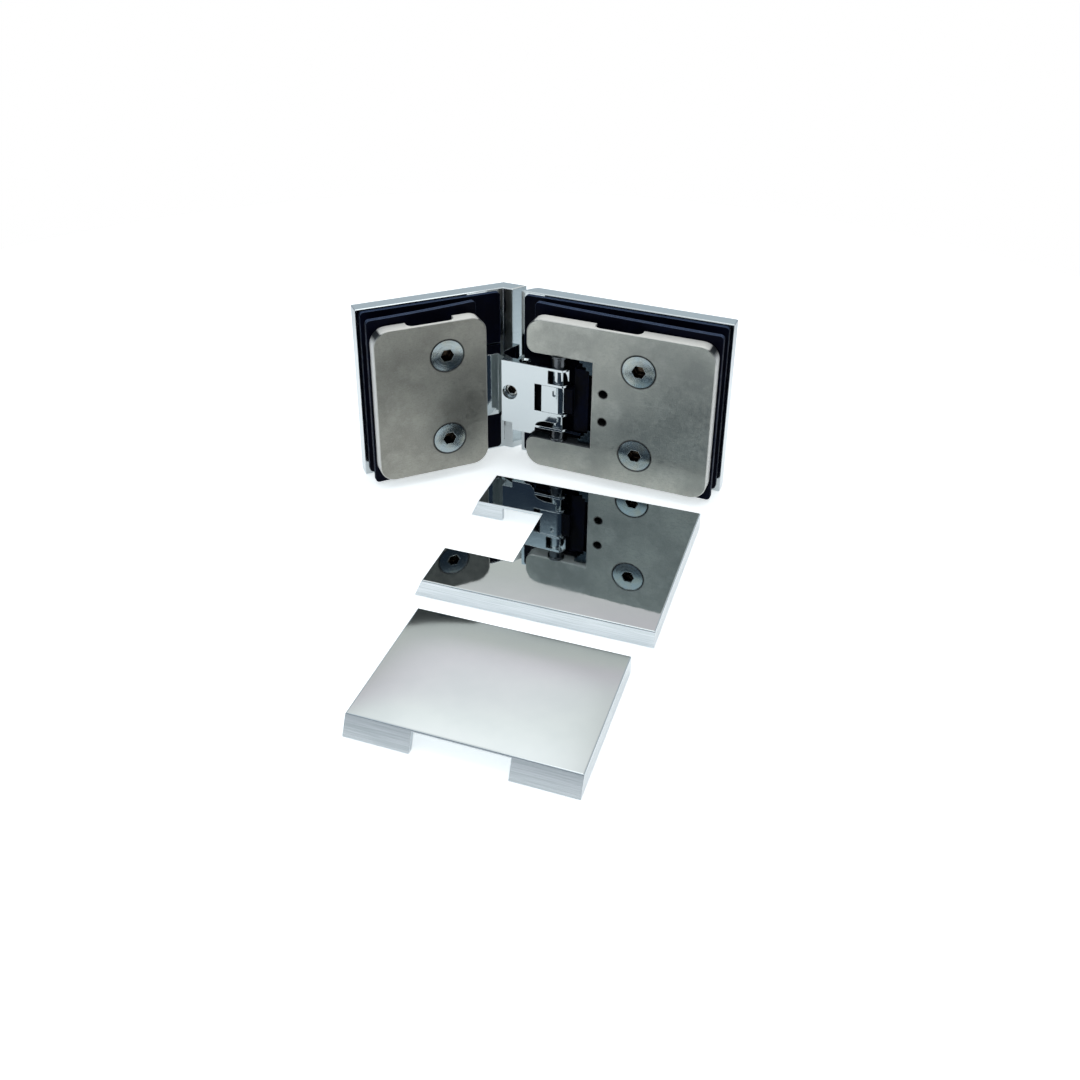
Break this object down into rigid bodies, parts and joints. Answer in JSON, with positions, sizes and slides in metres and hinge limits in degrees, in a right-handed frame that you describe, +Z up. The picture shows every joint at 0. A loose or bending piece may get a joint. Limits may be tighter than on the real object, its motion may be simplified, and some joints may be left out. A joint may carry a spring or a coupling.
{
  "type": "glass door hinge",
  "caption": "Glass-to-glass door hinge for a 135 degree corner: two clamped leaves joined by a chromed pivot arm, with both clip-on covers taken off and lying in front.",
  "frame": {"origin": "under the middle of the footprint, at the level the hinge stands on", "axes": "+X along the door leaf away from the bend, +Y towards the outside of the corner, +Z up along the pivot axis"},
  "size_m": [0.1774, 0.2204, 0.09],
  "materials": {
    "chrome": "polished",
    "stainless": "satin",
    "zinc_steel": "zinc plated",
    "rubber": "matt",
    "sleeve_plastic": "matt",
    "shoe_plastic": "matt",
    "bearing_steel": "ground",
    "housing_metal": "machined"
  },
  "bodies": {
    "fixed_leaf": {"fixed_back_plate": "chrome", "fixed_rear_gasket": "rubber", "fixed_front_gasket": "rubber", "fixed_spacer_gasket": "rubber", "fixed_clamp_plate": "stainless", "fixed_screw_sleeves": "sleeve_plastic", "pivot_arm": "chrome", "arm_fixing_screws": "zinc_steel", "adjusting_screw": "zinc_steel", "cam_block": "chrome", "door_cover": "chrome", "fixed_cover": "chrome", "fixed_clamp_screw_lower": "zinc_steel", "fixed_clamp_screw_upper": "zinc_steel"},
    "door_leaf": {"door_back_plate": "chrome", "door_rear_gasket": "rubber", "door_front_gasket": "rubber", "door_spacer_gasket": "rubber", "door_clamp_plate": "stainless", "door_screw_sleeves": "sleeve_plastic", "door_clamp_screw_lower": "zinc_steel", "door_clamp_screw_upper": "zinc_steel", "pivot_pin": "bearing_steel", "upper_bushing": "bearing_steel", "lower_bushing": "bearing_steel", "friction_shoe": "shoe_plastic", "shoe_springs": "zinc_steel", "spring_housing": "housing_metal", "spring_housing_screws": "zinc_steel"}
  },
  "joints": [
    {"name": "door_swing", "type": "hinge", "parent": "fixed_leaf", "child": "door_leaf", "pos_m": [0.0051, 0.0879, 0], "axis": [0, 0, 1], "range_deg": [-12, 25]}
  ]
}
